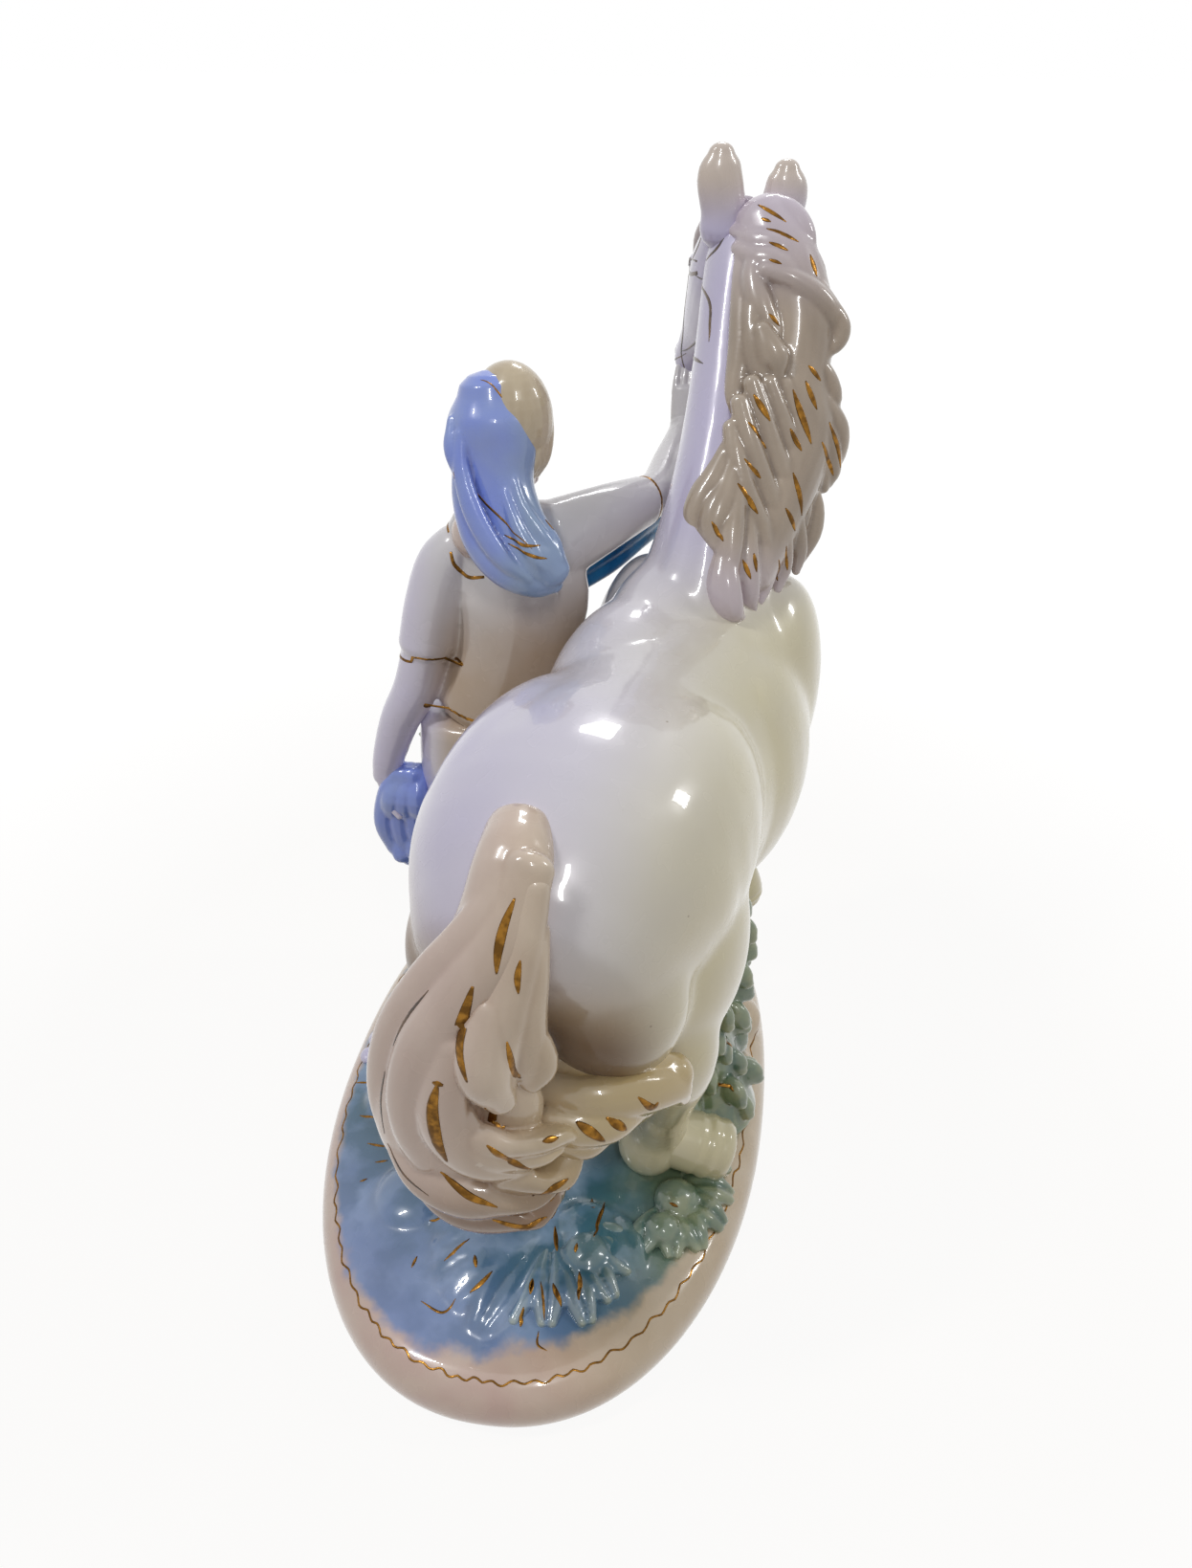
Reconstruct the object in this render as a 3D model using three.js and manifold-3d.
// A glazed porcelain group: a woman in a headscarf holds the chin of a prancing horse on an oval plinth.
// Millimetres, +Z up. The origin is the middle of the plinth's underside, and +Y runs along the plinth
// in the direction that the horse faces. Every piece is cast or pressed by itself and luted with slip.

import * as THREE from "three";
import { mergeVertices } from "three/addons/utils/BufferGeometryUtils.js";
import Module from "manifold-3d";

const wasm = await Module();
wasm.setup();

// Plinth
const plinthWidth = 148;
const plinthLength = 250;
const plinthHeight = 20;
const plinthSquareness = 2.2;
const plinthFootInset = 5;
const plinthShoulder = 10;
const plinthWall = 4.5;
const ventHoleDiameter = 3.6;
const groundRise = 6;

// The slip line left open between two luted pieces
const luteGap = 0.34;

// Horse: where it stands, and the heights and widths of its trunk
const horseHeading = THREE.MathUtils.degToRad(13.8);
const dockX = 10.5;
const dockY = -93;
const dockHeight = 181;
const croupHeight = 197;
const loinHeight = 194;
const withersHeight = 198;
const bellyHeight = 106;
const flankHeight = 115;
const buttockHeight = 111;
const hipHalfWidth = 45;
const barrelHalfWidth = 37;
const shoulderHalfWidth = 35;
const chestHalfWidth = 31;
const trunkLength = 160;
const trunkWall = 5;
const drainHoleDiameter = 9;

// Horse: neck and head
const neckRootHalfWidth = 21;
const neckRootDepth = 33;
const neckThroatHalfWidth = 12.8;
const neckThroatDepth = 16;
const pollHeight = 277;
const pollAhead = 175;
const pollLeft = 7;
const headLength = 60;
const headDrop = 46;
const headTurn = THREE.MathUtils.degToRad(-38);
const headTilt = THREE.MathUtils.degToRad(-13);
const foreheadHalfWidth = 12;
const jawDepth = 15;
const muzzleHalfWidth = 8;
const muzzleDepth = 8.5;
const earLength = 17.5;
const earHalfWidth = 6.6;
const earSpread = 8.6;

// Horse: legs
const legHalfWidth = 7;
const pasternHalfWidth = 6;
const hoofHalfWidth = 9;
const hoofHeight = 13;
const hindStance = 24;
const hindReach = 40;
const foreStance = 12;
const raisedKneeHeight = 92;
const standingForeAhead = 126;

// Mane and tail
const maneHalfWidth = 9;
const maneDepth = 19;
const maneCurlReach = 23;
const tailRootHalfWidth = 8.5;
const tailHalfWidth = 20;
const tailThickness = 9;
const tailSwing = 15;
const tuftLength = 32;
const tuftHalfWidth = 8;

// Woman
const womanX = -28;
const womanY = 30;
const skirtHemHalfWidth = 31;
const skirtHemDepth = 30;
const skirtWall = 4;
const hipHeight = 142;
const waistHalfWidth = 15;
const chestHeight = 184;
const chestHalfSpan = 19.5;
const womanShoulderHeight = 200;
const womanNeckHalfWidth = 5.5;
const womanHeadCentreHeight = 233;
const womanHeadHalfWidth = 11;
const womanHeadHalfHeight = 17;
const faceTurn = THREE.MathUtils.degToRad(34);
const upperArmHalfWidth = 8.5;
const wristHalfWidth = 4.4;
const handHalfWidth = 5;
const scarfThickness = 2.2;
const scarfTailLength = 34;
const clothDrop = 46;
const shawlWidth = 7;

// Foliage
const bushHalfWidth = 13;
const leafLength = 20;
const leafHalfWidth = 5.2;
const leafThickness = 1.7;
const sprayLeafLength = 24;

const porcelain = new THREE.MeshStandardMaterial({ color: 0xd8d5dc, roughness: 0.12 });
const maneGlaze = new THREE.MeshStandardMaterial({ color: 0xb8a79f, roughness: 0.14 });
const tailGlaze = new THREE.MeshStandardMaterial({ color: 0xd3c3b2, roughness: 0.14 });
const earGlaze = new THREE.MeshStandardMaterial({ color: 0xc9bcc0, roughness: 0.14 });
const skinGlaze = new THREE.MeshStandardMaterial({ color: 0xe0d0c6, roughness: 0.15 });
const hairGlaze = new THREE.MeshStandardMaterial({ color: 0xc7b99f, roughness: 0.15 });
const blueGlaze = new THREE.MeshStandardMaterial({ color: 0x6f86d6, roughness: 0.12 });
const deepBlueGlaze = new THREE.MeshStandardMaterial({ color: 0x1f6aa3, roughness: 0.12 });
const leafGlaze = new THREE.MeshStandardMaterial({ color: 0x7f9378, roughness: 0.15 });
const groundGlaze = new THREE.MeshStandardMaterial({ color: 0x8aa0b8, roughness: 0.15 });

const group = new THREE.Group();
group.name = "woman_with_horse";

// Points given to the horse's right, ahead of its dock and above the table.
const horseAhead = new THREE.Vector3(Math.sin(horseHeading), Math.cos(horseHeading), 0);
const horseRight = new THREE.Vector3(Math.cos(horseHeading), -Math.sin(horseHeading), 0);
function onHorse(right, ahead, up) {
  return new THREE.Vector3(dockX, dockY, up)
    .addScaledVector(horseRight, right)
    .addScaledVector(horseAhead, ahead);
}

// Points given from the spot where the woman stands.
function onWoman(right, ahead, up) {
  return new THREE.Vector3(womanX + right, womanY + ahead, up);
}

function station(at, across, deep, square = 2) {
  return { at, across, deep, square };
}

function power(value, exponent) {
  return Math.sign(value) * Math.pow(Math.abs(value), exponent);
}

// One closed body: a rounded outline carried through the stations on a smooth spine, with domed ends.
// `side` points across the body, `ripple` presses a number of hair grooves into the outline.
const plainForm = { around: 12, along: 2, dome: 0.7, ripple: 0, waves: 5, domeSteps: 2 };
function softBody(stations, side, form = {}) {
  const { around, along, dome, ripple, waves, domeSteps } = { ...plainForm, ...form };
  const spine = new THREE.CatmullRomCurve3(stations.map((s) => s.at));
  const sizes = new THREE.CatmullRomCurve3(
    stations.map((s) => new THREE.Vector3(s.across, s.deep, s.square)),
    false,
    "catmullrom",
    0.5,
  );
  const steps = (stations.length - 1) * along;
  const positions = [];
  const rings = [];
  function ring(centre, tangent, size, shrink) {
    const x = side.clone().addScaledVector(tangent, -side.dot(tangent)).normalize();
    const y = tangent.clone().cross(x);
    const start = positions.length / 3;
    for (let i = 0; i < around; i++) {
      const angle = (i / around) * Math.PI * 2;
      const groove = 1 - ripple * (0.5 + 0.5 * Math.cos(angle * waves));
      const reach = shrink * groove;
      const p = centre
        .clone()
        .addScaledVector(x, power(Math.cos(angle), 2 / size.z) * size.x * reach)
        .addScaledVector(y, power(Math.sin(angle), 2 / size.z) * size.y * reach);
      positions.push(p.x, p.y, p.z);
    }
    rings.push(start);
  }
  function end(u, outward) {
    const tangent = spine.getTangent(u);
    const size = sizes.getPoint(u);
    const length = Math.min(size.x, size.y) * dome * outward;
    const centre = spine.getPoint(u);
    for (let i = 1; i <= domeSteps; i++) {
      const k = outward < 0 ? domeSteps + 1 - i : i;
      const angle = (k / (domeSteps + 0.15)) * Math.PI * 0.5;
      const at = centre.clone().addScaledVector(tangent, length * Math.sin(angle));
      ring(at, tangent, size, Math.cos(angle));
    }
    return centre.clone().addScaledVector(tangent, length);
  }
  const first = end(0, -1);
  for (let i = 0; i <= steps; i++) {
    const u = i / steps;
    ring(spine.getPoint(u), spine.getTangent(u), sizes.getPoint(u), 1);
  }
  const last = end(1, 1);
  const index = [];
  for (let r = 0; r + 1 < rings.length; r++) {
    for (let i = 0; i < around; i++) {
      const j = (i + 1) % around;
      const a = rings[r] + i;
      const b = rings[r] + j;
      const c = rings[r + 1] + i;
      const d = rings[r + 1] + j;
      index.push(a, b, d, a, d, c);
    }
  }
  const bottom = positions.length / 3;
  positions.push(first.x, first.y, first.z, last.x, last.y, last.z);
  const topRing = rings[rings.length - 1];
  for (let i = 0; i < around; i++) {
    const j = (i + 1) % around;
    index.push(bottom, rings[0] + j, rings[0] + i);
    index.push(bottom + 1, topRing + i, topRing + j);
  }
  return closed(positions, index);
}

// An oval body built of level rings: each ring is given by its height and by how far it steps in.
function ovalBody(rings, halfWidth, halfLength, square, around) {
  const positions = [];
  for (const { z, inset } of rings) {
    for (let i = 0; i < around; i++) {
      const angle = (i / around) * Math.PI * 2;
      positions.push(
        power(Math.cos(angle), 2 / square) * (halfWidth - inset),
        power(Math.sin(angle), 2 / square) * (halfLength - inset),
        z,
      );
    }
  }
  const index = [];
  for (let r = 0; r + 1 < rings.length; r++) {
    for (let i = 0; i < around; i++) {
      const j = (i + 1) % around;
      const a = r * around + i;
      const b = r * around + j;
      index.push(a, b, b + around, a, b + around, a + around);
    }
  }
  const low = positions.length / 3;
  positions.push(0, 0, rings[0].z, 0, 0, rings[rings.length - 1].z);
  const top = (rings.length - 1) * around;
  for (let i = 0; i < around; i++) {
    const j = (i + 1) % around;
    index.push(low, j, i);
    index.push(low + 1, top + i, top + j);
  }
  return closed(positions, index);
}

// A geometry with its faces turned outwards.
function closed(positions, index) {
  let volume = 0;
  const p = (i) => new THREE.Vector3().fromArray(positions, i * 3);
  for (let i = 0; i < index.length; i += 3) {
    volume += p(index[i]).dot(p(index[i + 1]).cross(p(index[i + 2])));
  }
  if (volume < 0) {
    for (let i = 0; i < index.length; i += 3) {
      [index[i + 1], index[i + 2]] = [index[i + 2], index[i + 1]];
    }
  }
  const geometry = new THREE.BufferGeometry();
  geometry.setAttribute("position", new THREE.Float32BufferAttribute(positions, 3));
  geometry.setIndex(index);
  return geometry;
}

function solidOf(geometry) {
  const bare = geometry.clone();
  bare.deleteAttribute("normal");
  bare.deleteAttribute("uv");
  const merged = mergeVertices(bare, 1e-4);
  return new wasm.Manifold(
    new wasm.Mesh({
      numProp: 3,
      vertProperties: new Float32Array(merged.attributes.position.array),
      triVerts: new Uint32Array(merged.index.array),
    }),
  );
}

function geometryOf(solid) {
  const mesh = solid.getMesh();
  const geometry = new THREE.BufferGeometry();
  geometry.setAttribute("position", new THREE.Float32BufferAttribute(mesh.vertProperties, 3));
  geometry.setIndex(Array.from(mesh.triVerts));
  return geometry;
}

// The same body, a lute gap thicker all round.
function swollen(solid) {
  const geometry = mergeVertices(geometryOf(solid), 1e-4);
  geometry.computeVertexNormals();
  const position = geometry.attributes.position;
  const normal = geometry.attributes.normal;
  for (let i = 0; i < position.count; i++) {
    position.setXYZ(
      i,
      position.getX(i) + normal.getX(i) * luteGap,
      position.getY(i) + normal.getY(i) * luteGap,
      position.getZ(i) + normal.getZ(i) * luteGap,
    );
  }
  return solidOf(geometry);
}

function largestBody(solid) {
  const bodies = solid.decompose();
  return bodies.reduce((best, body) => (body.volume() > best.volume() ? body : best));
}

function joined(geometries) {
  return geometries.map(solidOf).reduce((sum, next) => sum.add(next));
}

function boxesMeet(a, b) {
  return [0, 1, 2].every((k) => a.min[k] < b.max[k] && b.min[k] < a.max[k]);
}

// Adds one piece to the group. It is cut back from every piece that was luted before it.
const luted = [];
function lute(name, shape, material, hollows = []) {
  let solid = shape.isBufferGeometry ? solidOf(shape) : shape;
  const whole = solid;
  for (const earlier of luted) {
    if (boxesMeet(solid.boundingBox(), earlier.thick.boundingBox())) {
      solid = solid.subtract(earlier.thick);
    }
  }
  for (const hollow of hollows) {
    solid = solid.subtract(hollow.isBufferGeometry ? solidOf(hollow) : hollow);
  }
  luted.push({ thick: swollen(whole) });
  const mesh = new THREE.Mesh(geometryOf(largestBody(solid)), material);
  mesh.name = name;
  group.add(mesh);
}

const X = new THREE.Vector3(1, 0, 0);
const Y = new THREE.Vector3(0, 1, 0);
const Z = new THREE.Vector3(0, 0, 1);

// Plinth, slip-cast hollow, with a flat unglazed underside and a vent hole
const halfWidth = plinthWidth / 2;
const halfLength = plinthLength / 2;
const plinth = ovalBody(
  [
    { z: 0, inset: plinthFootInset },
    { z: plinthHeight * 0.14, inset: 1.6 },
    { z: plinthHeight * 0.42, inset: 0 },
    { z: plinthHeight * 0.7, inset: 1 },
    { z: plinthHeight * 0.92, inset: plinthShoulder * 0.42 },
    { z: plinthHeight, inset: plinthShoulder },
    { z: plinthHeight + groundRise * 0.45, inset: halfWidth * 0.4 },
    { z: plinthHeight + groundRise, inset: halfWidth * 0.85 },
  ],
  halfWidth,
  halfLength,
  plinthSquareness,
  44,
);
const plinthHollow = ovalBody(
  [
    { z: plinthWall, inset: plinthWall + 6 },
    { z: plinthHeight * 0.6, inset: plinthWall + 3 },
    { z: plinthHeight - plinthWall, inset: plinthWall + plinthShoulder },
  ],
  halfWidth,
  halfLength,
  plinthSquareness,
  20,
);
const ventHole = new THREE.CylinderGeometry(ventHoleDiameter / 2, ventHoleDiameter / 2, plinthHeight, 16);
ventHole.rotateX(Math.PI / 2);
ventHole.translate(0, -halfLength * 0.45, plinthHeight * 0.4 - 4);

// Low mounds of the ground, each given by its place, its radius and its height over the shoulder
function mound(x, y, radius, rise) {
  const ball = new THREE.SphereGeometry(1, 9, 6);
  ball.rotateX(Math.PI / 2);
  ball.scale(radius, radius, rise + 3);
  ball.translate(x, y, plinthHeight);
  return ball;
}
const mounds = [
  mound(-4, -90, 12, groundRise * 0.6),
  mound(-32, -66, 14, groundRise * 0.6),
  mound(-50, -30, 11, groundRise * 0.5),
  mound(2, 18, 14, groundRise * 1.2),
  mound(60, 28, 11, groundRise * 0.9),
  mound(44, 66, 15, groundRise * 0.8),
  mound(8, 60, 13, groundRise * 1.1),
];
lute("plinth", joined([plinth, ...mounds]), groundGlaze, [plinthHollow, ventHole]);

// A rounded muscle: a ball stretched in the horse's own directions
function swelling(at, across, along, high) {
  const ball = new THREE.SphereGeometry(1, 11, 7);
  ball.rotateX(Math.PI / 2);
  const stretch = new THREE.Matrix4().makeBasis(
    horseRight.clone().multiplyScalar(across),
    horseAhead.clone().multiplyScalar(along),
    Z.clone().multiplyScalar(high),
  );
  stretch.setPosition(at);
  return ball.applyMatrix4(stretch);
}

// Horse's trunk, hollow, drained through a hole where the support meets the belly
function trunk(wall) {
  const level = (top, bottom) => (top + bottom) / 2;
  const half = (top, bottom) => (top - bottom) / 2 - wall;
  return softBody(
    [
      station(
        onHorse(2, 7 + wall, level(dockHeight, buttockHeight)),
        33 - wall,
        half(dockHeight, buttockHeight),
        2.3,
      ),
      station(
        onHorse(0, 32, level(croupHeight, flankHeight)),
        hipHalfWidth - wall,
        half(croupHeight, flankHeight),
        2.15,
      ),
      station(
        onHorse(0, 66, level(loinHeight, bellyHeight + 2)),
        barrelHalfWidth - wall,
        half(loinHeight, bellyHeight + 2),
      ),
      station(
        onHorse(0, trunkLength * 0.66, level(loinHeight, bellyHeight)),
        barrelHalfWidth - wall,
        half(loinHeight, bellyHeight),
      ),
      station(
        onHorse(0, trunkLength * 0.82, level(withersHeight, bellyHeight + 6)),
        shoulderHalfWidth - wall,
        half(withersHeight, bellyHeight + 6),
      ),
      station(
        onHorse(0, trunkLength - wall, level(withersHeight - 16, bellyHeight + 14)),
        chestHalfWidth - wall,
        half(withersHeight - 16, bellyHeight + 14) - 4,
      ),
    ],
    horseRight,
    { around: wall ? 12 : 20, along: wall ? 1 : 2, dome: 0.45 },
  );
}
const drainHole = new THREE.CylinderGeometry(drainHoleDiameter / 2, drainHoleDiameter / 2, 40, 12);
drainHole.rotateX(Math.PI / 2);
const drainAt = onHorse(4, trunkLength * 0.55, bellyHeight + 8);
drainHole.translate(drainAt.x, drainAt.y, drainAt.z);
const muscles = [-1, 1].flatMap((side) => [
  swelling(onHorse(side * hipHalfWidth * 0.4, 50, croupHeight - 39), hipHalfWidth * 0.56, 54, 37),
  swelling(onHorse(side * hipHalfWidth * 0.53, 33, flankHeight + 21), hipHalfWidth * 0.4, 24, 32),
  swelling(onHorse(side * hipHalfWidth * 0.36, 9, buttockHeight + 23), hipHalfWidth * 0.42, 13.5, 24),
  swelling(onHorse(side * 21, trunkLength * 0.81, withersHeight - 40), 15, 21, 34),
]);
const barrel = swelling(onHorse(7, trunkLength * 0.55, bellyHeight + 44), barrelHalfWidth * 0.93, 48, 38);
lute("horse_trunk", joined([trunk(0), barrel, ...muscles]), porcelain, [trunk(trunkWall), drainHole]);

// Neck, head and ears
const poll = onHorse(-pollLeft, pollAhead, pollHeight);
const neckRoot = onHorse(0, trunkLength * 0.8, withersHeight - 26);
const neckMiddle = onHorse(0, trunkLength * 0.9, withersHeight + 14);
const neckUpper = onHorse(-5, pollAhead - 14, pollHeight - 36);
lute(
  "horse_neck",
  softBody(
    [
      station(neckRoot, neckRootHalfWidth, neckRootDepth),
      station(neckMiddle, neckRootHalfWidth * 0.72, neckRootDepth * 0.74),
      station(neckUpper, neckThroatHalfWidth, neckThroatDepth * 1.12),
      station(poll, neckThroatHalfWidth * 0.95, neckThroatDepth * 0.82),
    ],
    horseRight,
    { around: 14, along: 2, dome: 0.6 },
  ),
  porcelain,
);
const headHeading = horseHeading + headTurn;
const headAcross = new THREE.Vector3(
  Math.cos(headHeading) * Math.cos(headTilt),
  -Math.sin(headHeading) * Math.cos(headTilt),
  Math.sin(headTilt),
);
const headAhead = new THREE.Vector3(Math.sin(headHeading), Math.cos(headHeading), 0);
const headReach = Math.sqrt(headLength * headLength - headDrop * headDrop);
function onHead(share, right, ahead) {
  return poll
    .clone()
    .addScaledVector(headAhead, headReach * share + ahead)
    .addScaledVector(headAcross, right)
    .addScaledVector(Z, -headDrop * share);
}
const skull = softBody(
  [
    station(onHead(0.08, 0, 3), foreheadHalfWidth * 0.9, jawDepth * 0.75),
    station(onHead(0.28, 0, 1), foreheadHalfWidth, jawDepth),
    station(onHead(0.52, 0, 0), foreheadHalfWidth * 0.82, jawDepth * 0.85),
    station(onHead(0.76, 0, 1), muzzleHalfWidth * 0.92, muzzleDepth),
    station(onHead(0.94, 0, 1), muzzleHalfWidth, muzzleDepth * 0.9),
  ],
  headAcross,
  { around: 14, along: 2, dome: 0.7 },
);
lute("horse_head", skull, porcelain);
function ear(sideways) {
  const root = onHead(0, sideways * earSpread, 0).addScaledVector(Z, 4);
  const lean = headAcross.clone().multiplyScalar(sideways * 1.5);
  return softBody(
    [
      station(root, earHalfWidth * 0.7, earHalfWidth * 0.7),
      station(
        root.clone().addScaledVector(Z, earLength * 0.45).add(lean),
        earHalfWidth,
        earHalfWidth * 0.7,
      ),
      station(
        root.clone().addScaledVector(Z, earLength * 0.88).add(lean),
        earHalfWidth * 0.62,
        earHalfWidth * 0.45,
      ),
    ],
    headAcross,
    { around: 10, along: 2, dome: 0.9 },
  );
}
lute("horse_ear_left", ear(-1), earGlaze);
lute("horse_ear_right", ear(1), earGlaze);

// Legs: each bends at its joints and stands with its hoof on the ground or in the air
const groundLevel = plinthHeight + groundRise * 0.6;
function limb(at, across, deep) {
  return station(at, legHalfWidth * across, legHalfWidth * deep);
}
function leg(stations) {
  return softBody(stations, horseRight, { around: 12, along: 2, dome: 0.55 });
}
function hoof(at, turn) {
  const heading = horseHeading + turn;
  const across = new THREE.Vector3(Math.cos(heading), -Math.sin(heading), 0);
  const toe = new THREE.Vector3(Math.sin(heading), Math.cos(heading), 0);
  return softBody(
    [
      station(at.clone().addScaledVector(Z, 2), hoofHalfWidth, hoofHalfWidth * 1.15),
      station(
        at.clone().addScaledVector(Z, hoofHeight).addScaledVector(toe, -2.5),
        hoofHalfWidth * 0.74,
        hoofHalfWidth * 0.82,
      ),
    ],
    across,
    { around: 12, along: 1, dome: 0.25 },
  );
}
lute(
  "horse_hind_leg_right",
  joined([
    leg([
      limb(onHorse(hindStance - 2, hindReach - 6, bellyHeight + 16), 2.2, 2.6),
      limb(onHorse(hindStance + 5, hindReach - 6, bellyHeight - 6), 1.5, 1.6),
      limb(onHorse(hindStance + 1, hindReach + 2, bellyHeight * 0.72), 1.1, 1.3),
      limb(onHorse(hindStance - 4, hindReach + 12, bellyHeight * 0.51), 1.15, 1.15),
      limb(onHorse(hindStance - 8, hindReach + 16, groundLevel + 14), 1.35, 1.35),
    ]),
    leg([
      station(onHorse(hindStance - 5, hindReach + 20, groundLevel + 12), hoofHalfWidth * 0.8, hoofHalfWidth * 0.8),
      station(onHorse(hindStance + 12, hindReach + 27, groundLevel + 6), hoofHalfWidth, hoofHalfWidth),
    ]),
  ]),
  porcelain,
);
const leftHoof = onHorse(-hindStance, hindReach + 22, groundLevel);
lute(
  "horse_hind_leg_left",
  joined([
    leg([
      limb(onHorse(-hindStance, hindReach, bellyHeight + 18), 2.3, 2.6),
      limb(onHorse(-hindStance, hindReach + 2, bellyHeight - 6), 1.5, 1.7),
      limb(onHorse(-hindStance, hindReach - 6, bellyHeight * 0.735), 1, 1.3),
      station(onHorse(-hindStance, hindReach + 6, bellyHeight * 0.53), pasternHalfWidth, pasternHalfWidth),
      station(onHorse(-hindStance, hindReach + 18, groundLevel + 9), pasternHalfWidth, pasternHalfWidth),
    ]),
    hoof(leftHoof, 0),
  ]),
  porcelain,
);
const leftForeHoof = onHorse(-foreStance, standingForeAhead + 4, groundLevel);
lute(
  "horse_foreleg_left",
  joined([
    leg([
      limb(onHorse(-foreStance - 3, standingForeAhead - 4, bellyHeight + 26), 1.8, 2.2),
      limb(onHorse(-foreStance, standingForeAhead - 2, bellyHeight), 1.15, 1.3),
      limb(onHorse(-foreStance, standingForeAhead, bellyHeight * 0.735), 0.95, 1),
      station(onHorse(-foreStance, standingForeAhead - 1, bellyHeight * 0.51), pasternHalfWidth, pasternHalfWidth),
      station(onHorse(-foreStance, standingForeAhead + 1, groundLevel + 9), pasternHalfWidth, pasternHalfWidth),
    ]),
    hoof(leftForeHoof, 0),
  ]),
  porcelain,
);
const raisedFoot = onHorse(foreStance - 2, trunkLength - 2, raisedKneeHeight - 38);
lute(
  "horse_foreleg_right",
  joined([
    leg([
      limb(onHorse(foreStance + 3, trunkLength - 20, bellyHeight + 30), 1.8, 2),
      limb(onHorse(foreStance, trunkLength, raisedKneeHeight + 20), 1.3, 1.3),
      limb(onHorse(foreStance - 2, trunkLength + 14, raisedKneeHeight), 1, 1),
      station(
        onHorse(foreStance - 2, trunkLength + 6, raisedKneeHeight - 18),
        pasternHalfWidth,
        pasternHalfWidth,
      ),
      station(raisedFoot.clone().addScaledVector(Z, 11), pasternHalfWidth, pasternHalfWidth),
    ]),
    hoof(raisedFoot, 0),
  ]),
  porcelain,
);

// Support under the belly, cast as a bush
function leaf(root, heading, rise, length) {
  const out = new THREE.Vector3(Math.cos(heading), Math.sin(heading), rise).normalize();
  const across = new THREE.Vector3(-Math.sin(heading), Math.cos(heading), 0);
  return softBody(
    [
      station(root, leafHalfWidth * 0.5, leafThickness * 1.2),
      station(root.clone().addScaledVector(out, length * 0.45), leafHalfWidth, leafThickness),
      station(
        root.clone().addScaledVector(out, length * 0.92).addScaledVector(Z, -length * 0.1),
        leafHalfWidth * 0.3,
        leafThickness * 0.7,
      ),
    ],
    across,
    { around: 6, along: 1, dome: 0.9, domeSteps: 1 },
  );
}
const bushFoot = onHorse(18, 88, plinthHeight);
const bushTop = onHorse(16, 88, bellyHeight + 4);
const bushStem = softBody(
  [
    station(bushFoot, bushHalfWidth * 1.7, bushHalfWidth * 1.6),
    station(bushFoot.clone().lerp(bushTop, 0.35), bushHalfWidth, bushHalfWidth),
    station(bushFoot.clone().lerp(bushTop, 0.7), bushHalfWidth * 0.9, bushHalfWidth),
    station(bushTop, bushHalfWidth * 1.2, bushHalfWidth * 1.2),
  ],
  horseRight,
  { around: 12, along: 2, dome: 0.3, ripple: 0.2, waves: 4 },
);
const bushLeaves = [0.22, 0.45, 0.68, 0.9].flatMap((share, tier) =>
  [-60, 0].map((degrees) =>
    leaf(
      bushFoot.clone().lerp(bushTop, share).addScaledVector(horseRight, bushHalfWidth * 0.5),
      THREE.MathUtils.degToRad(degrees + tier * 14),
      0.25,
      leafLength * 0.72,
    ),
  ),
);
lute("support_bush", joined([bushStem, ...bushLeaves]), leafGlaze);

// Mane: a long sheet of hair over the right of the crest, with curls that stand out from it
const crestOut = horseRight.clone();
function maneLock(points, across, deep) {
  return softBody(
    points.map((p, i) => station(p, across[i], deep[i])),
    horseAhead,
    { around: 12, along: 2, dome: 0.8, ripple: 0.16, waves: 4 },
  );
}
const manePath = [
  onHorse(0, pollAhead - 7, pollHeight + 4),
  onHorse(6, pollAhead - 13, pollHeight - 14),
  onHorse(10, pollAhead - 21, pollHeight - 38),
  onHorse(10, trunkLength - 16, withersHeight + 17),
  onHorse(9, trunkLength - 27, withersHeight - 3),
];
lute(
  "horse_mane",
  maneLock(
    manePath,
    [maneHalfWidth * 0.9, maneHalfWidth * 1.2, maneHalfWidth * 1.35, maneHalfWidth * 1.4, maneHalfWidth * 1.2],
    [maneDepth * 0.45, maneDepth * 0.62, maneDepth * 0.76, maneDepth * 0.8, maneDepth * 0.66],
  ),
  maneGlaze,
);
function curl(points, size) {
  return maneLock(points, [size, size, size * 0.7], [size, size * 0.95, size * 0.7]);
}
lute(
  "mane_curl_upper",
  curl(
    [
      onHorse(9, pollAhead - 16, pollHeight - 10),
      onHorse(13, pollAhead - 17, pollHeight - 18),
      onHorse(maneCurlReach * 0.73, pollAhead - 18, pollHeight - 27),
    ],
    7.5,
  ),
  maneGlaze,
);
lute(
  "mane_curl_lower",
  curl(
    [
      onHorse(17, pollAhead - 20, pollHeight - 38),
      onHorse(maneCurlReach * 0.96, pollAhead - 22, pollHeight - 46),
      onHorse(maneCurlReach * 1.18, pollAhead - 20, pollHeight - 56),
    ],
    8.5,
  ),
  maneGlaze,
);
lute(
  "mane_curl_chest",
  curl(
    [
      onHorse(15, trunkLength - 15, withersHeight + 17),
      onHorse(20, trunkLength - 21, withersHeight + 6),
      onHorse(maneCurlReach * 0.88, trunkLength - 30, withersHeight - 7),
    ],
    8.5,
  ),
  maneGlaze,
);
lute(
  "mane_curl_shoulder",
  curl(
    [
      onHorse(7, trunkLength - 34, withersHeight + 9),
      onHorse(9, trunkLength - 42, withersHeight + 1),
      onHorse(maneCurlReach * 0.45, trunkLength - 51, withersHeight - 6),
    ],
    8,
  ),
  maneGlaze,
);
lute(
  "mane_curl_withers",
  curl(
    [
      onHorse(6, trunkLength - 39, withersHeight + 19),
      onHorse(3, trunkLength - 45, withersHeight + 12),
      onHorse(0, trunkLength - 52, withersHeight + 5),
    ],
    7,
  ),
  maneGlaze,
);
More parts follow.
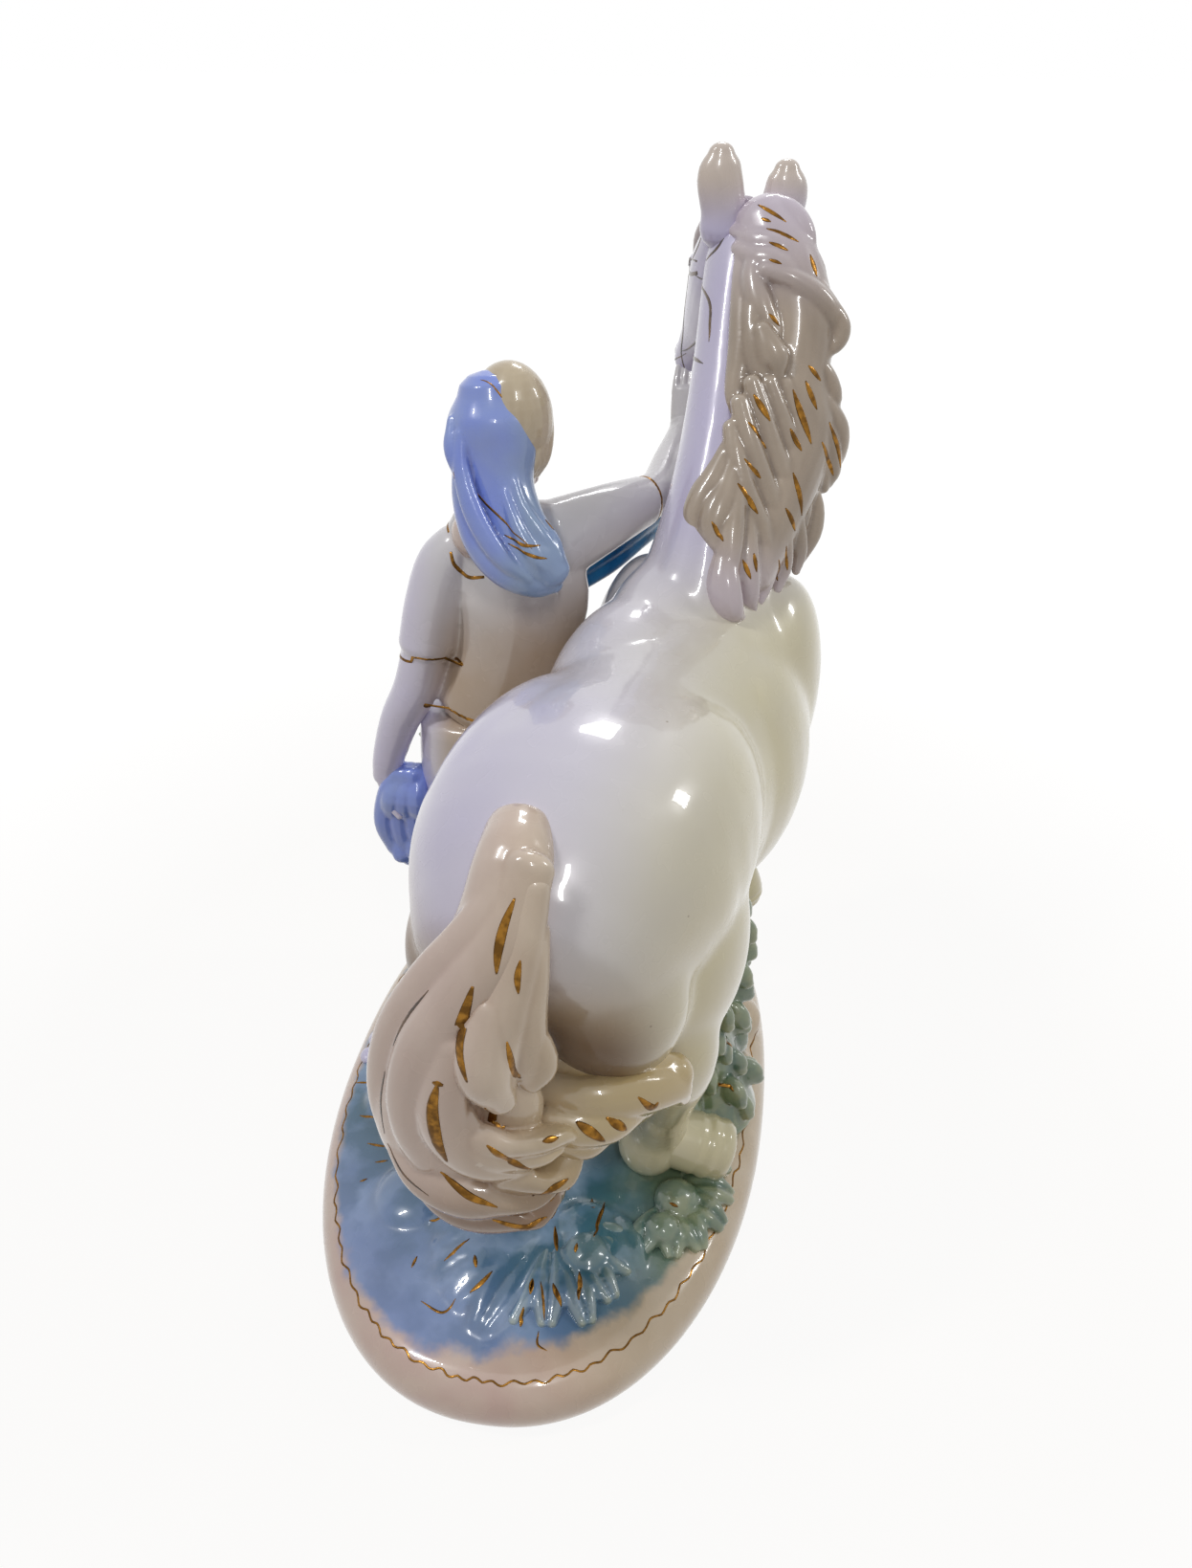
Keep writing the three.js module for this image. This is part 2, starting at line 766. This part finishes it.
lute(
  "horse_forelock",
  softBody(
    [
      station(onHead(0.0, -2, 4).addScaledVector(Z, 9), 6, 4),
      station(onHead(0.12, -3, 10).addScaledVector(Z, 8), 6.5, 4.5),
      station(onHead(0.32, -3, 13).addScaledVector(Z, 3), 3.5, 3),
    ],
    headAcross,
    { around: 12, along: 2, dome: 0.8, ripple: 0.14, waves: 4 },
  ),
  maneGlaze,
);

// Tail: three locks and a tuft that sweeps across the hocks
function tailLock(stations, ripple, waves) {
  return softBody(stations, X, { around: 14, along: 2, dome: 0.8, ripple, waves });
}
lute(
  "horse_tail",
  tailLock(
    [
      station(onHorse(0, 5, dockHeight - 4), tailRootHalfWidth, tailRootHalfWidth),
      station(onHorse(0, -tailSwing * 0.7, dockHeight - 12), tailRootHalfWidth * 1.1, tailRootHalfWidth),
      station(onHorse(-5, -tailSwing * 1.2, dockHeight - 30), tailHalfWidth * 0.6, tailThickness),
      station(onHorse(-11, -tailSwing * 1.2, dockHeight - 54), tailHalfWidth * 0.85, tailThickness * 1.1),
      station(onHorse(-10, -tailSwing, dockHeight - 80), tailHalfWidth, tailThickness * 1.2),
      station(onHorse(0, -tailSwing * 0.8, dockHeight - 98), tailHalfWidth * 0.85, tailThickness),
      station(onHorse(8, -tailSwing * 0.6, dockHeight - 106), tailHalfWidth * 0.5, tailThickness * 0.7),
    ],
    0.14,
    7,
  ),
  tailGlaze,
);
lute(
  "tail_inner_lock",
  tailLock(
    [
      station(onHorse(2, -tailSwing * 0.9, dockHeight - 26), 6, 6),
      station(onHorse(4, -tailSwing * 1.1, dockHeight - 46), 7, 7),
      station(onHorse(5, -tailSwing * 1.1, dockHeight - 66), 9, 8),
      station(onHorse(4, -tailSwing, dockHeight - 80), 7, 7),
    ],
    0.12,
    4,
  ),
  tailGlaze,
);
lute(
  "tail_tuft",
  softBody(
    [
      station(onHorse(6, -tailSwing * 0.5, dockHeight - 74), tuftHalfWidth * 1.7, tuftHalfWidth),
      station(onHorse(6 + tuftLength * 0.5, 0, dockHeight - 71), tuftHalfWidth * 1.6, tuftHalfWidth * 0.9),
      station(onHorse(6 + tuftLength * 0.86, 7, dockHeight - 71), tuftHalfWidth * 1.1, tuftHalfWidth * 0.6),
    ],
    Z,
    { around: 12, along: 2, dome: 0.8, ripple: 0.16, waves: 4 },
  ),
  tailGlaze,
);

// Woman: skirt, blouse, neck, head, hair and scarf
function skirt(wall, foot) {
  return softBody(
    [
      station(onWoman(0, 2, foot), skirtHemHalfWidth - wall, skirtHemDepth - wall),
      station(onWoman(0, 3, plinthHeight + 34), skirtHemHalfWidth * 0.86 - wall, skirtHemDepth * 0.8 - wall),
      station(onWoman(-1, 2, hipHeight - 38), waistHalfWidth * 1.42 - wall, waistHalfWidth * 1.35 - wall),
      station(onWoman(-2, 0, hipHeight - wall * 2), waistHalfWidth * 1.3 - wall, waistHalfWidth - wall),
    ],
    X,
    { around: wall ? 10 : 21, along: wall ? 1 : 2, dome: 0.25, ripple: wall ? 0 : 0.1, waves: 7 },
  );
}
lute("woman_skirt", skirt(0, plinthHeight), porcelain, [skirt(skirtWall, plinthHeight)]);
lute(
  "woman_blouse",
  softBody(
    [
      station(onWoman(3, 0, hipHeight + 3), waistHalfWidth * 1.25, waistHalfWidth * 0.9),
      station(onWoman(10.5, 0, hipHeight + 21), waistHalfWidth * 1.2, waistHalfWidth * 0.78),
      station(onWoman(14, 1, chestHeight), chestHalfSpan * 1.08, chestHalfSpan * 0.62),
      station(onWoman(8, 2, womanShoulderHeight), chestHalfSpan, chestHalfSpan * 0.42),
    ],
    new THREE.Vector3(0.92, 0.1, 0.26),
    { around: 16, along: 2, dome: 0.6 },
  ),
  porcelain,
);
const headCentre = onWoman(12.5, 2, womanHeadCentreHeight - 1);
const faceAhead = new THREE.Vector3(Math.sin(faceTurn), Math.cos(faceTurn), 0);
const faceRight = new THREE.Vector3(Math.cos(faceTurn), -Math.sin(faceTurn), 0);
function onFace(right, ahead, up) {
  return headCentre.clone().addScaledVector(faceRight, right).addScaledVector(faceAhead, ahead).addScaledVector(Z, up);
}
lute(
  "woman_neck",
  softBody(
    [
      station(onWoman(1, 1, womanShoulderHeight), womanNeckHalfWidth * 1.4, womanNeckHalfWidth * 1.3),
      station(onWoman(3, 1, womanShoulderHeight + 12), womanNeckHalfWidth, womanNeckHalfWidth),
      station(onWoman(7, 2, womanHeadCentreHeight - 8), womanNeckHalfWidth, womanNeckHalfWidth),
    ],
    X,
    { around: 10, along: 1, dome: 0.4 },
  ),
  skinGlaze,
);
const face = softBody(
  [
    station(onFace(0, 2.5, -womanHeadHalfHeight * 0.82), womanHeadHalfWidth * 0.42, womanHeadHalfWidth * 0.42),
    station(onFace(0, 1, -womanHeadHalfHeight * 0.45), womanHeadHalfWidth * 0.78, womanHeadHalfWidth * 0.82),
    station(onFace(0, 0, 0), womanHeadHalfWidth * 0.88, womanHeadHalfWidth),
    station(onFace(0, -1, womanHeadHalfHeight * 0.55), womanHeadHalfWidth * 0.76, womanHeadHalfWidth * 0.85),
  ],
  faceRight,
  { around: 14, along: 2, dome: 0.7 },
);
const nose = softBody(
  [
    station(onFace(0, womanHeadHalfWidth * 0.92, 1), 1.1, 1.2),
    station(onFace(0, womanHeadHalfWidth * 1.05, -womanHeadHalfHeight * 0.24), 1.7, 1.8),
  ],
  faceRight,
  { around: 8, along: 1, dome: 0.8 },
);
lute("woman_head", joined([face, nose]), skinGlaze);
function cap(thick, back, share) {
  return softBody(
    [
      station(onFace(0, -back, -womanHeadHalfHeight * share), womanHeadHalfWidth * 0.7 + thick, womanHeadHalfWidth * 0.7),
      station(onFace(0, -back, 0), womanHeadHalfWidth * 0.94 + thick, womanHeadHalfWidth + thick - back * 0.2),
      station(
        onFace(0, -back, womanHeadHalfHeight * 0.5),
        womanHeadHalfWidth * 0.82 + thick,
        womanHeadHalfWidth * 0.9 + thick - back * 0.2,
      ),
      station(
        onFace(0, -back * 0.8, womanHeadHalfHeight * 0.8),
        womanHeadHalfWidth * 0.5 + thick,
        womanHeadHalfWidth * 0.55 + thick,
      ),
    ],
    faceRight,
    { around: 12, along: 2, dome: 0.7 },
  );
}
lute("woman_hair", cap(1.8, 2.6, 0.35), hairGlaze);
lute("woman_headscarf", cap(1.2 + scarfThickness, 5, 0.75), blueGlaze);
lute(
  "woman_scarf_tail",
  softBody(
    [
      station(onWoman(3, -12, womanHeadCentreHeight - 8), 9, 5.5),
      station(onWoman(11, -16, womanHeadCentreHeight - 20), 11, 6),
      station(onWoman(scarfTailLength * 0.68, -18, womanHeadCentreHeight - 28), 9.5, 6),
      station(onWoman(scarfTailLength * 0.88, -18, womanHeadCentreHeight - 30), 6, 5),
    ],
    new THREE.Vector3(0.5, 0, 0.86),
    { around: 14, along: 2, dome: 0.8, ripple: 0.12, waves: 3 },
  ),
  blueGlaze,
);

// Arms and hands
function arm(stations) {
  return softBody(stations, Y, { around: 12, along: 2, dome: 0.6 });
}
const leftWrist = onWoman(-32, -6, hipHeight - 22);
lute(
  "woman_arm_left",
  arm([
    station(onWoman(-7, -1, womanShoulderHeight - 1), upperArmHalfWidth * 0.85, upperArmHalfWidth * 0.85),
    station(onWoman(-13, -4, womanShoulderHeight - 24), upperArmHalfWidth * 1.05, upperArmHalfWidth * 1.05),
    station(onWoman(-20, -6, womanShoulderHeight - 48), upperArmHalfWidth * 0.82, upperArmHalfWidth * 0.82),
    station(onWoman(-29, -6, hipHeight - 6), wristHalfWidth * 1.35, wristHalfWidth * 1.35),
    station(leftWrist, wristHalfWidth, wristHalfWidth),
  ]),
  porcelain,
);
const rightElbow = onWoman(50, 30, womanShoulderHeight + 5);
const rightWrist = onWoman(55, 66, womanShoulderHeight + 14);
lute(
  "woman_arm_right",
  softBody(
    [
      station(onWoman(26, 4, womanShoulderHeight + 1), upperArmHalfWidth * 1.55, upperArmHalfWidth * 1.1),
      station(onWoman(38, 15, womanShoulderHeight + 4), upperArmHalfWidth * 1.15, upperArmHalfWidth),
      station(rightElbow, upperArmHalfWidth * 0.85, upperArmHalfWidth * 0.85),
      station(rightWrist, wristHalfWidth * 1.1, wristHalfWidth * 1.1),
    ],
    Z,
    { around: 12, along: 2, dome: 0.6 },
  ),
  porcelain,
);
function hand(wrist, reach, across, thumbSide) {
  const palmEnd = wrist.clone().add(reach);
  const fingers = [-1, -0.33, 0.33, 1].map((k) =>
    softBody(
      [
        station(palmEnd.clone().addScaledVector(across, k * handHalfWidth * 0.66), 1.5, 1.5),
        station(
          palmEnd.clone().addScaledVector(across, k * handHalfWidth * 0.7).addScaledVector(reach, 0.75),
          1.2,
          1.2,
        ),
      ],
      across,
      { around: 6, along: 1, dome: 0.8, domeSteps: 1 },
    ),
  );
  const thumb = softBody(
    [
      station(wrist.clone().addScaledVector(reach, 0.35).addScaledVector(across, thumbSide * 2.5), 1.7, 1.7),
      station(
        wrist.clone().addScaledVector(reach, 0.95).addScaledVector(across, thumbSide * (handHalfWidth + 2.4)),
        1.3,
        1.3,
      ),
    ],
    reach.clone().cross(across),
    { around: 6, along: 1, dome: 0.8, domeSteps: 1 },
  );
  const palm = softBody(
    [
      station(wrist, wristHalfWidth * 0.85, wristHalfWidth * 0.7),
      station(palmEnd, handHalfWidth, 2.4, 2.4),
    ],
    across,
    { around: 10, along: 1, dome: 0.5 },
  );
  return joined([palm, ...fingers, thumb]);
}
lute(
  "woman_hand_left",
  hand(leftWrist.clone().add(new THREE.Vector3(0, 0, -3)), new THREE.Vector3(2, 0, -9), Y, -1),
  skinGlaze,
);
lute(
  "woman_hand_right",
  hand(rightWrist.clone().add(new THREE.Vector3(0, 2, 3)), new THREE.Vector3(0, 3, 9), X, 1),
  skinGlaze,
);

// Blue cloth gathered in the left hand, and the shawl that hangs under the right arm
lute(
  "woman_held_cloth",
  softBody(
    [
      station(onWoman(-12, -12, hipHeight - 14), 7, 5),
      station(onWoman(-23, -11, hipHeight - 30), 8, 6),
      station(onWoman(-23, -11, hipHeight - 30 - clothDrop * 0.5), 8, 5),
      station(onWoman(-22, -9, hipHeight - 30 - clothDrop), 6, 4),
    ],
    X,
    { around: 14, along: 2, dome: 0.7, ripple: 0.2, waves: 4 },
  ),
  blueGlaze,
);
lute(
  "woman_shawl",
  softBody(
    [
      station(onWoman(31, 14, chestHeight + 2), 2.2, shawlWidth),
      station(onWoman(41, 26, chestHeight + 8), 2.2, shawlWidth),
      station(onWoman(52, 36, chestHeight + 14), 2.2, shawlWidth * 0.8),
    ],
    X,
    { around: 10, along: 2, dome: 0.8 },
  ),
  deepBlueGlaze,
);

// Leaf clusters pressed on the ground
function leafCluster(centre, count, from, sweep, rise, length, moundSize) {
  const mound = softBody(
    [station(centre.clone().addScaledVector(Z, -3), moundSize, moundSize), station(centre, moundSize * 0.8, moundSize * 0.8)],
    X,
    { around: 10, along: 1, dome: 0.5 },
  );
  const leaves = Array.from({ length: count }, (_, i) =>
    leaf(
      centre.clone().addScaledVector(Z, 0.6 * (i % 2)),
      THREE.MathUtils.degToRad(from + (sweep * i) / count),
      rise + 0.12 * (i % 2),
      length * (1 - 0.12 * (i % 3)),
    ),
  );
  return joined([mound, ...leaves]);
}
const groundAt = (x, y, up) => new THREE.Vector3(x, y, plinthHeight + up);
lute("leaves_rear", leafCluster(groundAt(22, -88, 4), 6, 130, 290, 0.05, leafLength, 9), leafGlaze);
lute("leaves_right", leafCluster(groundAt(50, -66, 5), 5, -120, 190, 0.15, leafLength * 0.85, 8), leafGlaze);
lute("leaves_front", leafCluster(groundAt(-14, 84, 3), 6, 10, 330, 0.25, leafLength, 9), leafGlaze);
const sprayFoot = onWoman(-12, 37, plinthHeight);
const sprayLeaves = [0, 1, 2, 3, 4].map((i) =>
  leaf(
    sprayFoot.clone().addScaledVector(Z, 26 + i * 12),
    THREE.MathUtils.degToRad(110 + (i % 2) * 90),
    1.4,
    sprayLeafLength,
  ),
);
const sprayStem = softBody(
  [station(sprayFoot, 5, 5), station(sprayFoot.clone().addScaledVector(Z, 84), 3, 3)],
  X,
  { around: 8, along: 3, dome: 0.8 },
);
lute("leaf_spray", joined([sprayStem, ...sprayLeaves]), leafGlaze);

export default group;
